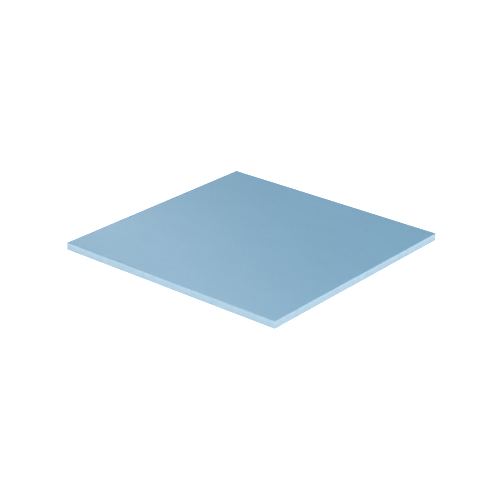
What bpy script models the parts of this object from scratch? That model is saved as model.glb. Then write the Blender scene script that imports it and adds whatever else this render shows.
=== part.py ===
"""Thermal pad sheet: one slab of soft, ceramic-filled silicone that lies flat.

Units are metres, +Z is up. The origin is the centre of the lower contact face.
X runs along the sheet's length and Y across its width.
"""

import math

import bmesh
import bpy

# Driving dimensions
SHEET_LENGTH = 0.050
SHEET_WIDTH = 0.050
SHEET_THICKNESS = 0.0015
CORNER_RADIUS = 0.00012  # plan radius where two cuts meet
RIM_RADIUS = 0.00008  # round of the rims, where a cut meets a contact face

# How finely the rounds are faceted
CORNER_SEGMENTS = 6
RIM_SEGMENTS = 3
RIM_ANGLE = math.radians(60)  # an edge between faces that turn by more than this is a rim

# Finish of the silicone: linear colour, roughness, metallic
PAD_BLUE = (0.17, 0.35, 0.49, 1.0)
PAD_ROUGHNESS = 0.3
PAD_METALLIC = 0.0


def clear_scene():
    """Removes what the start-up file holds."""
    for leftover in list(bpy.data.objects):
        bpy.data.objects.remove(leftover, do_unlink=True)


def new_collection(name):
    """A collection linked to the scene, for the part's objects."""
    collection = bpy.data.collections.new(name)
    bpy.context.scene.collection.children.link(collection)
    return collection


def silicone_material():
    """The plain blue of the filled silicone."""
    material = bpy.data.materials.new("filled_silicone")
    material.use_nodes = True
    shader = material.node_tree.nodes["Principled BSDF"]
    shader.inputs["Base Color"].default_value = PAD_BLUE
    shader.inputs["Roughness"].default_value = PAD_ROUGHNESS
    shader.inputs["Metallic"].default_value = PAD_METALLIC
    return material


def sheet_blank():
    """A sharp-edged slab, centred in plan and standing on Z = 0."""
    blank = bmesh.new()
    bmesh.ops.create_cube(blank, size=1.0)
    bmesh.ops.translate(blank, vec=(0.0, 0.0, 0.5), verts=blank.verts)
    bmesh.ops.scale(
        blank,
        vec=(SHEET_LENGTH, SHEET_WIDTH, SHEET_THICKNESS),
        verts=blank.verts,
    )
    return blank


def round_corners(blank):
    """Rounds the four upright edges, where the cuts meet."""
    upright = [
        edge
        for edge in blank.edges
        if edge.verts[0].co.xy == edge.verts[1].co.xy
    ]
    bmesh.ops.bevel(
        blank,
        geom=upright,
        offset=CORNER_RADIUS,
        offset_type="OFFSET",
        segments=CORNER_SEGMENTS,
        profile=0.5,
        affect="EDGES",
    )


def round_rims(sheet):
    """Rounds the upper and lower rims all the way round the sheet."""
    rims = sheet.modifiers.new("rims", "BEVEL")
    rims.limit_method = "ANGLE"
    rims.angle_limit = RIM_ANGLE
    rims.width = RIM_RADIUS
    rims.segments = RIM_SEGMENTS
    rims.use_clamp_overlap = True


def pad_sheet(collection):
    """The whole pad, one solid."""
    blank = sheet_blank()
    round_corners(blank)
    mesh = bpy.data.meshes.new("pad_sheet")
    blank.to_mesh(mesh)
    blank.free()
    mesh.materials.append(silicone_material())
    sheet = bpy.data.objects.new("pad_sheet", mesh)
    collection.objects.link(sheet)
    round_rims(sheet)
    return sheet


def main():
    clear_scene()
    pad_sheet(new_collection("thermal_pad_sheet"))


main()
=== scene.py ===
import math

import bmesh
import bpy
from mathutils import Matrix, Vector, noise


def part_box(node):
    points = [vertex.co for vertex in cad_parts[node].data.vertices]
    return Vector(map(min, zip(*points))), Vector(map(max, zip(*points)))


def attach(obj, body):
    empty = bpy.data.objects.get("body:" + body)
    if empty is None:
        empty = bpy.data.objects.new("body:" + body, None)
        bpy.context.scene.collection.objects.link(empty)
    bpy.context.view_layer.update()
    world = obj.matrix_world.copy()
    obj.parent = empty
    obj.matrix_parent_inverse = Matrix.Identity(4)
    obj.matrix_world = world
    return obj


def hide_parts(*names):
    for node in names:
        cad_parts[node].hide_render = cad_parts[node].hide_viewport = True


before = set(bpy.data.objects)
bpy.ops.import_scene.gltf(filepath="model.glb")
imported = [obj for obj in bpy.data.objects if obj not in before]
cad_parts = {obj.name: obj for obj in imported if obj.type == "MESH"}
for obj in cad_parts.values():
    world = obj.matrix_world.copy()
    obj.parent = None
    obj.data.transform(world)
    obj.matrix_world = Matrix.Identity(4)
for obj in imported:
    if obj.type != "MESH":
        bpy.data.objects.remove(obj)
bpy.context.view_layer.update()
print("frame loaded:", len(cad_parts), "node")

perMetre = 1000  # millimetres, in which the sheet is described


# Shader sums are written as plain Python on this class

class Signal:
    def __init__(self, tree, socket=None):
        self.tree = tree
        self.socket = socket

    def node(self, kind, settings=None, inputs=None, output=0):
        made = self.tree.nodes.new(kind)
        for name, value in (settings or {}).items():
            if name == "stops":
                self.setStops(made.color_ramp, value)
            else:
                setattr(made, name, value)
        for name, value in (inputs or {}).items():
            if isinstance(value, Signal):
                self.tree.links.new(value.socket, made.inputs[name])
            else:
                made.inputs[name].default_value = value
        return Signal(self.tree, made.outputs[output])

    def setStops(self, ramp, stops):  # two pairs of a position and a grey, eased between
        ramp.interpolation = "EASE"
        for element, (position, grey) in zip(ramp.elements, stops):
            element.position = position
            element.color = (grey, grey, grey, 1)

    def beside(self, output):  # another output of the same node
        return Signal(self.tree, self.socket.node.outputs[output])

    def maths(self, operation, *values):
        return self.node("ShaderNodeMath", {"operation": operation}, dict(enumerate(values)))

    def __add__(self, other):
        return self.maths("ADD", self, other)

    def __sub__(self, other):
        return self.maths("SUBTRACT", self, other)

    def __rsub__(self, other):
        return self.maths("SUBTRACT", other, self)

    def __mul__(self, other):
        return self.maths("MULTIPLY", self, other)

    __radd__ = __add__
    __rmul__ = __mul__

    def __abs__(self):
        return self.maths("ABSOLUTE", self)

    def lesser(self, other):
        return self.maths("MINIMUM", self, other)

    def fade(self, start, stop):  # 1 up to the start, 0 from the stop on
        return self.node("ShaderNodeValToRGB", {"stops": ((start, 1.0), (stop, 0.0))}, {0: self})

    def mixed(self, first, second):  # two colours, by this value
        settings = {"data_type": "RGBA", "clamp_factor": True}
        return self.node("ShaderNodeMix", settings, {0: self, 6: first, 7: second}, output=2)


def newFinish(name, ior):
    finish = bpy.data.materials.new(name)
    finish.use_nodes = True
    shader = finish.node_tree.nodes["Principled BSDF"]
    shader.inputs["IOR"].default_value = ior
    place = Signal(finish.node_tree).node("ShaderNodeTexCoord", output="Object")
    return finish, shader, place


def feed(shader, socket, signal):
    signal.tree.links.new(signal.socket, shader.inputs[socket])


def stretched(place, cell, seed):  # coordinates counted in cells of this size, in millimetres
    scale = [perMetre / side for side in cell]
    inputs = {"Vector": place, "Location": (seed, seed, seed), "Scale": scale}
    return place.node("ShaderNodeMapping", inputs=inputs)


def cloud(place, cell, seed, detail=2.0):  # soft noise from 0 to 1
    at = stretched(place, cell, seed)
    return at.node("ShaderNodeTexNoise", inputs={"Vector": at, "Scale": 1.0, "Detail": detail})


def drift(place, cell, seed, detail=2.0):  # the same noise, centred on 0
    return cloud(place, cell, seed, detail) - 0.5


speck = {
    "core": 0.55,  # a speck is solid out to this share of its reach
    "sure": 0.7,  # and full in this share of the cells that have one
    "raggedness": 1.0,  # detail of its outline
}


def specks(place, cell, reach, share, seed):  # uneven dots in this share of the cells
    at = stretched(place, (cell, cell, cell), seed)
    inputs = {"Vector": at, "Scale": 1 / reach, "Detail": speck["raggedness"]}
    ragged = at.node("ShaderNodeTexNoise", inputs=inputs, output="Color")
    inputs = {0: ragged, 1: (reach, reach, reach), 2: at}
    at = at.node("ShaderNodeVectorMath", {"operation": "MULTIPLY_ADD"}, inputs)
    dots = at.node("ShaderNodeTexVoronoi", {"feature": "F1"}, {"Vector": at, "Scale": 1.0})
    chance = at.node("ShaderNodeSeparateColor", inputs={"Color": dots.beside("Color")})
    return chance.fade(share * speck["sure"], share) * dots.fade(reach * speck["core"], reach)


def scaled(colour, amount):
    return amount.node("ShaderNodeVectorMath", {"operation": "SCALE"}, {0: colour, "Scale": amount})


def relief(height, depth):  # depth in metres for a height of one
    inputs = {"Strength": 1.0, "Distance": depth, "Height": height}
    return height.node("ShaderNodeBump", inputs=inputs, output="Normal")


# The rolled skin of the two contact faces
# A speck's cell is the millimetres from one to the next, its reach a share of that

skin = {
    "ior": 1.45,
    "blue": (0.172, 0.348, 0.496, 1),
    "paleBlue": (0.27, 0.46, 0.60, 1),
    # dark grains, and painted shade in the pinholes
    "deepAndShadeBlue": (0.10, 0.25, 0.39, 1),
    "hemBlue": (0.22, 0.42, 0.57, 1),  # where the knife stretched the skin thin
    "pale": {"cell": 0.20, "reach": 0.34, "share": 0.30, "seed": 3.0},  # filler grains
    "deep": {"cell": 0.32, "reach": 0.24, "share": 0.22, "seed": 8.0},
    # pinholes: sunk in the bump and painted darker, as painted shade in their hollows
    "pinholes": {"cell": 1.5, "reach": 0.07, "share": 0.45, "seed": 21.0},
    "hem": (0.066, 0.22),  # millimetres in from the cut: solid up to here, gone from there
    "hemStray": {"cell": (0.5, 0.5, 0.5), "seed": 17.0},
    "hemStrayBy": 0.25,  # millimetres
    "show": {"pale": 0.20, "deep": 0.18, "pinholes": 0.50, "hem": 0.55},  # through the blue; the pinholes' share is painted shade in their hollows
    "mottle": {"cell": (8.8, 5.5, 5.5), "seed": 7.0, "detail": 3.0},  # clouds in the pigment
    "curd": {"cell": (0.9, 0.9, 0.9), "seed": 13.0},
    "tone": {"mottle": 0.07, "curd": 0.06},  # from their deepest to their palest
    "roughness": 0.262,  # past 0.273 the sheen renders blotchy, so only the hem goes there
    "tack": {"cell": (7.0, 5.0, 7.0), "seed": 29.0},
    "rougher": {"tack": 0.02, "hem": 0.10},
    "dimples": {"cell": (0.45, 0.45, 0.45), "seed": 5.0},  # faint marks of the rolls
    "grit": {"cell": (0.12, 0.12, 0.12), "seed": 6.0},
    "height": {"grit": 0.15, "pale": 0.12, "pinholes": -1.2},  # beside the dimples' height of 1
    "depth": 0.000004,  # metres
}


def edgeReach(place, half):  # millimetres in from the nearest cut
    along = place.node("ShaderNodeSeparateXYZ", inputs={"Vector": place}, output="X")
    across = along.beside("Y")
    return (half - abs(along * perMetre)).lesser(half - abs(across * perMetre))


def skinFinish(half):
    finish, shader, place = newFinish("rolledSkin", skin["ior"])
    pale = specks(place, **skin["pale"])
    deep = specks(place, **skin["deep"])
    pinholes = specks(place, **skin["pinholes"])
    reach = edgeReach(place, half) + drift(place, **skin["hemStray"]) * skin["hemStrayBy"]
    hem = reach.fade(*skin["hem"])
    show = skin["show"]
    base = (pale * show["pale"]).mixed(skin["blue"], skin["paleBlue"])
    # dark grains, and painted shade in the pinholes
    base = (deep * show["deep"] + pinholes * show["pinholes"]).mixed(base, skin["deepAndShadeBlue"])
    base = (hem * show["hem"]).mixed(base, skin["hemBlue"])
    mottle = drift(place, **skin["mottle"])
    curd = drift(place, **skin["curd"])
    tone = 1.0 + mottle * skin["tone"]["mottle"] + curd * skin["tone"]["curd"]
    feed(shader, "Base Color", scaled(base, tone))
    tack = drift(place, **skin["tack"])
    rougher = tack * skin["rougher"]["tack"] + hem * skin["rougher"]["hem"]
    feed(shader, "Roughness", skin["roughness"] + rougher)
    dimples = cloud(place, **skin["dimples"])
    grit = cloud(place, **skin["grit"])
    rise = skin["height"]
    height = dimples + grit * rise["grit"] + pale * rise["pale"] + pinholes * rise["pinholes"]
    feed(shader, "Normal", relief(height, skin["depth"]))
    return finish


# The four cut faces: a smooth band under the upper rim, torn and grainy below it. Their blue is
# lighter than the skin's, partly as a chalky cut and partly as painted light, the sides lit
# brighter than the upper face

cut = {
    "ior": 1.42,
    # lighter than the skin's blue: partly a chalky cut, partly painted light that lifts the sides
    # above the upper face
    "blue": (0.334, 0.477, 0.583, 1),
    "paleBlue": (0.53, 0.65, 0.73, 1),
    # darker blue for the torn pits, as painted shade in their hollows
    "deepAndShadeBlue": (0.22, 0.39, 0.53, 1),
    "pale": {"cell": 0.15, "reach": 0.42, "share": 0.45, "seed": 2.0},  # filler grains
    "fine": {"cell": 0.075, "reach": 0.45, "share": 0.50, "seed": 12.0},
    "deep": {"cell": 0.21, "reach": 0.27, "share": 0.26, "seed": 15.0},
    "streak": {"cell": (0.24, 0.24, 5.0), "seed": 4.0},  # knife marks, which run up the cut
    "drag": {"cell": (1.3, 1.3, 9.0), "seed": 9.0},  # where the blade pulled
    "grit": {"cell": (0.10, 0.10, 0.10), "seed": 23.0},
    "band": (0.74, 1.14),  # millimetres up: torn below the first, smooth above the second
    "bandSpan": 2.0,  # millimetres that the fade of the band is measured over
    "bandStray": {"cell": (1.6, 1.6, 1.6), "seed": 19.0},
    "bandStrayBy": 0.9,  # millimetres
    "show": {"pale": 0.25, "tornPale": 0.30, "fine": 0.20, "tornPitShade": 0.40},  # through the blue; the torn pits' share is painted shade in their hollows
    "streakShadeTone": 0.14,  # painted shade in the knife marks' grooves and painted light on their ridges, from the deepest to the palest
    # lighter in the band under the upper rim, darker in the torn part towards the floor: partly the
    # knife's two textures, partly painted light near the rim and painted shade towards the floor
    "bandTone": 1.02,
    "tornAndShadedTone": 0.98,
    "bandRoughness": 0.58,
    "tornRoughness": 0.80,
    "streakRoughness": 0.12,
    "height": {"streak": 2.5, "drag": 2.0, "fine": 0.5, "grit": 2.0, "deep": -1.5},  # pale is 1
    "bandGrain": 0.3,  # share of the grain's height that is left in the smooth band
    "depth": 0.000009,  # metres
}


def tornShare(place):  # 1 where the cut is torn, 0 in the smooth band
    up = place.node("ShaderNodeSeparateXYZ", inputs={"Vector": place}, output="Z") * perMetre
    up = up + drift(place, **cut["bandStray"]) * cut["bandStrayBy"]
    span = cut["bandSpan"]
    foot, top = cut["band"]
    return (up * (1 / span)).fade(foot / span, top / span)


def cutFinish():
    finish, shader, place = newFinish("knifeCut", cut["ior"])
    pale = specks(place, **cut["pale"])
    fine = specks(place, **cut["fine"])
    deep = specks(place, **cut["deep"])
    streak = drift(place, **cut["streak"])
    drag = drift(place, **cut["drag"])
    grit = cloud(place, **cut["grit"])
    torn = tornShare(place)
    show = cut["show"]
    grains = pale * (show["pale"] + torn * show["tornPale"]) + fine * show["fine"]
    base = grains.mixed(cut["blue"], cut["paleBlue"])
    # the torn pits are painted darker: painted shade in their hollows
    base = (deep * torn * show["tornPitShade"]).mixed(base, cut["deepAndShadeBlue"])
    # darker towards the floor: partly the torn texture, partly painted shade
    tone = cut["bandTone"] + torn * (cut["tornAndShadedTone"] - cut["bandTone"])
    # the knife marks' tone is painted shade in their grooves and painted light on their ridges
    feed(shader, "Base Color", scaled(base, tone + (streak + drag) * cut["streakShadeTone"]))
    rough = cut["bandRoughness"] + torn * (cut["tornRoughness"] - cut["bandRoughness"])
    feed(shader, "Roughness", rough + streak * cut["streakRoughness"])
    rise = cut["height"]
    grain = pale + fine * rise["fine"] + grit * rise["grit"] + deep * rise["deep"]
    grain = grain * (cut["bandGrain"] + torn * (1 - cut["bandGrain"]))
    height = streak * rise["streak"] + drag * rise["drag"] + grain
    feed(shader, "Normal", relief(height, cut["depth"]))
    return finish


# The slab itself, modelled in millimetres and scaled to metres at the end

slab = {
    "cell": 0.5,  # side of a cell of the contact faces
    "wallRows": 8,
    "cornerRadius": 0.12,
    "cornerSegments": 4,
    "upperRim": 0.08,
    "lowerRim": 0.06,
    "rimSegments": 3,
    "rimGuard": 0.03,  # flat margin inside each rim, which keeps its shading off the face
    "columnCuts": 3,  # extra columns in each cell of the cut faces, for the knife marks
    "sharpAngle": 60,  # degrees past which an edge gets rounded
    "levelWithin": 0.001,  # how far apart in height two points still count as level
    "flatNormal": 0.999,  # a face that points up or down by this much is flat
    "skinNormal": 0.8,  # and by this much, it still wears the skin round a rim
    "waveGain": 0.7,  # brings the noise to the full range from 0 to 1
    "faceWave": 0.012,  # how far the upper face dips between its high places
    "faceWaveLength": 13.0,
    "faceSeed": 1.3,
    "edgeDip": 0.010,  # how far the knife drew the upper face down along its rims
    "dipReach": 0.35,
    "cutWave": 0.030,  # how far the cuts wander from a straight line
    "cutWaveLength": 11.0,
    "cutSeed": 2.7,
    "cutReach": 0.3,  # how far in from the corner rounds a cut's unevenness fades out
    "cutApart": 20,  # from one cut's stretch of the noise to the next one's
    "dish": 0.018,  # hollow of the cut faces, where the squeezed silicone sprang back
    "knifeMark": 0.006,
    "markLength": 0.55,
    "markSeed": 5.1,
    "fineMark": 0.003,
    "fineMarks": 2.6,  # to each knife mark
    "fineSeed": 9.4,
    "markSlant": 0.12,
}


def drop(edge):  # height lost from one end to the other
    return abs(edge.verts[0].co.z - edge.verts[1].co.z)


def sharpEdges(bm):
    limit = math.radians(slab["sharpAngle"])
    return [
        edge for edge in bm.edges
        if len(edge.link_faces) == 2 and edge.calc_face_angle() > limit
    ]


def rimEdges(bm, height):
    return [
        edge for edge in sharpEdges(bm)
        if all(abs(vert.co.z - height) < slab["levelWithin"] for vert in edge.verts)
    ]


def roundEdges(bm, edges, radius, segments):
    bmesh.ops.bevel(
        bm, geom=edges, offset=radius, offset_type="OFFSET", segments=segments,
        profile=0.5, affect="EDGES", material=-1,
    )


def slabBlock(low, high):
    size = high - low
    bm = bmesh.new()
    bmesh.ops.create_cube(bm, size=1.0)
    bmesh.ops.scale(bm, vec=size, verts=bm.verts)
    bmesh.ops.translate(bm, vec=(low + high) / 2, verts=bm.verts)
    level = [edge for edge in bm.edges if drop(edge) < slab["levelWithin"]]
    cells = round(size.x / slab["cell"])
    bmesh.ops.subdivide_edges(bm, edges=level, cuts=cells - 1, use_grid_fill=True)
    upright = [edge for edge in bm.edges if drop(edge) > slab["levelWithin"]]
    bmesh.ops.subdivide_edges(bm, edges=upright, cuts=slab["wallRows"] - 1, use_grid_fill=True)
    return bm


def roundSlab(bm, low, high):
    corners = [edge for edge in sharpEdges(bm) if drop(edge) > slab["levelWithin"]]
    roundEdges(bm, corners, slab["cornerRadius"], slab["cornerSegments"])
    roundEdges(bm, rimEdges(bm, high.z), slab["upperRim"], slab["rimSegments"])
    roundEdges(bm, rimEdges(bm, low.z), slab["lowerRim"], slab["rimSegments"])
    for sign in (1, -1):
        faces = [face for face in bm.faces if face.normal.z * sign > slab["flatNormal"]]
        bmesh.ops.inset_region(bm, faces=faces, thickness=slab["rimGuard"], use_even_offset=True)


def addColumns(bm):  # fine columns down the cut faces and round their rims
    along = [
        edge for edge in bm.edges
        if drop(edge) < slab["levelWithin"]
        and edge.calc_length() > slab["cell"] / 2
        and any(abs(face.normal.z) < slab["flatNormal"] for face in edge.link_faces)
    ]
    bmesh.ops.subdivide_edges(
        bm, edges=along, cuts=slab["columnCuts"], use_grid_fill=True, use_single_edge=True,
    )


def wave(point, length, seed):  # smooth, from 0 to 1
    value = noise.noise(Vector(point) / length + Vector((seed, seed, seed)))
    return min(max(0.5 + slab["waveGain"] * value, 0.0), 1.0)


def faceSink(x, y, reach):  # how far the upper face lies below its plane
    dip = slab["edgeDip"] * math.exp(-reach / slab["dipReach"])
    return slab["faceWave"] * wave((x, y, 0), slab["faceWaveLength"], slab["faceSeed"]) + dip


def cutSink(lane, along, z, rise):  # how far a cut lies in from its plane
    marks = (lane, along + z * slab["markSlant"], 0)
    fineLength = slab["markLength"] / slab["fineMarks"]
    inward = slab["cutWave"] * wave((lane, along, 0), slab["cutWaveLength"], slab["cutSeed"])
    inward += slab["dish"] * 4 * rise * (1 - rise)
    inward += slab["knifeMark"] * wave(marks, slab["markLength"], slab["markSeed"])
    inward += slab["fineMark"] * wave(marks, fineLength, slab["fineSeed"])
    return inward


def wearSlab(bm, low, high):
    middle = (low + high) / 2
    half = (high - low) / 2
    for vert in bm.verts:
        x, y, z = vert.co - middle
        edgeX = half.x - abs(x)
        edgeY = half.y - abs(y)
        rise = (z / half.z + 1) / 2  # 0 at the lower face, 1 at the upper
        for axis, edge, along in ((0, edgeX, y), (1, edgeY, x)):
            near = 1 - (edge - slab["cornerRadius"]) / slab["cutReach"]
            if near > 0:
                side = math.copysign(1, (x, y)[axis])
                lane = (side * 2 + axis) * slab["cutApart"]
                vert.co[axis] -= side * cutSink(lane, along, z, rise) * min(near, 1)
        vert.co.z -= faceSink(x, y, min(edgeX, edgeY)) * rise * rise


def makeSlab():
    low, high = (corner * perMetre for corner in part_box("pad_sheet"))
    bm = slabBlock(low, high)
    roundSlab(bm, low, high)
    addColumns(bm)
    for face in bm.faces:
        face.smooth = True
        face.material_index = 0 if abs(face.normal.z) > slab["skinNormal"] else 1
    wearSlab(bm, low, high)
    bmesh.ops.scale(bm, vec=Vector((1, 1, 1)) / perMetre, verts=bm.verts)
    bmesh.ops.recalc_face_normals(bm, faces=bm.faces)
    mesh = bpy.data.meshes.new("thermal_pad")
    bm.to_mesh(mesh)
    bm.free()
    mesh.materials.append(skinFinish(high.x))
    mesh.materials.append(cutFinish())
    piece = bpy.data.objects.new("thermal_pad", mesh)
    bpy.context.scene.collection.objects.link(piece)
    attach(piece, "root")
    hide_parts("pad_sheet")
    return piece


pad = makeSlab()
print("slab:", len(pad.data.vertices), "points,", len(pad.data.polygons), "faces")


# White table that glows as well as being lit, so that it stays plain

table = {"radius": 3.0, "sides": 96, "white": 0.8, "roughness": 0.9, "glow": 0.9}


def makeTable():
    bm = bmesh.new()
    bmesh.ops.create_circle(bm, cap_ends=True, segments=table["sides"], radius=table["radius"])
    mesh = bpy.data.meshes.new("table")
    bm.to_mesh(mesh)
    bm.free()
    finish = bpy.data.materials.new("tableWhite")
    finish.use_nodes = True
    shader = finish.node_tree.nodes["Principled BSDF"]
    white = table["white"]
    shader.inputs["Base Color"].default_value = (white, white, white, 1)
    shader.inputs["Roughness"].default_value = table["roughness"]
    shader.inputs["Emission Color"].default_value = (1, 1, 1, 1)
    shader.inputs["Emission Strength"].default_value = table["glow"]
    mesh.materials.append(finish)
    floor = bpy.data.objects.new("table", mesh)
    bpy.context.scene.collection.objects.link(floor)


makeTable()
print("table set")


# Camera at the height and turn of the photograph

view = {
    "azimuth": 38.83,  # degrees round from looking along the sheet's width
    "elevation": 24.16,
    "roll": 1.05,
    "lens": 111.4,  # millimetres
    "sensor": 36.0,
    "away": 0.2947,  # metres to the plane through the sheet's middle
    "aim": (-0.00066, -0.00097),  # metres right and up of the middle
    "clip": (0.01, 20.0),
}


def lookingIn(azimuth, elevation, roll, shift):  # a place round the sheet, turned to face it
    turn = Matrix.Rotation(math.radians(azimuth), 4, "Z")
    tilt = Matrix.Rotation(math.radians(90 - elevation), 4, "X")
    spin = Matrix.Rotation(math.radians(roll), 4, "Z")
    return turn @ tilt @ spin @ Matrix.Translation(shift)


def makeCamera():
    camera = bpy.data.cameras.new("camera")
    camera.sensor_width = view["sensor"]
    camera.lens = view["lens"]
    camera.clip_start, camera.clip_end = view["clip"]
    rig = bpy.data.objects.new("camera", camera)
    right, up = view["aim"]
    shift = (right, up, view["away"])
    rig.matrix_world = lookingIn(view["azimuth"], view["elevation"], view["roll"], shift)
    bpy.context.scene.collection.objects.link(rig)
    bpy.context.scene.camera = rig


makeCamera()
bpy.context.scene.view_settings.view_transform = "Standard"
print("camera set")


# Soft studio light, placed round the sheet from where the camera stands

sky = {"white": (1, 1, 1, 1), "strength": 0.22}
softboxes = {  # degrees round from the camera, degrees up, metres away and across
    "overhead": {
        "round": 30, "rise": 68, "away": 0.9,
        "size": (1.2, 1.2), "slant": 0, "glow": 2.6,
    },
    "backStrip": {  # gives the sheen on the upper face
        "round": 180, "rise": 30.6, "away": 0.456,
        "size": (0.308, 0.024), "slant": -38, "glow": 4.5,
    },
    "leftFill": {  # lifts the left-hand cut face
        "round": -50, "rise": 14, "away": 0.7,
        "size": (0.6, 0.25), "slant": 0, "glow": 1.2,
    },
}


def makeSky():
    world = bpy.data.worlds.new("studio")
    bpy.context.scene.world = world
    world.use_nodes = True
    background = world.node_tree.nodes["Background"]
    background.inputs["Color"].default_value = sky["white"]
    background.inputs["Strength"].default_value = sky["strength"]


def makeSoftbox(name, box):
    light = bpy.data.lights.new(name, "AREA")
    light.shape = "RECTANGLE"
    light.size, light.size_y = box["size"]
    light.energy = box["glow"] * math.pi * light.size * light.size_y
    lamp = bpy.data.objects.new(name, light)
    azimuth = view["azimuth"] + box["round"]
    lamp.matrix_world = lookingIn(azimuth, box["rise"], box["slant"], (0, 0, box["away"]))
    lamp.visible_camera = False
    bpy.context.scene.collection.objects.link(lamp)


makeSky()
for name, box in softboxes.items():
    makeSoftbox(name, box)
print("lights set")
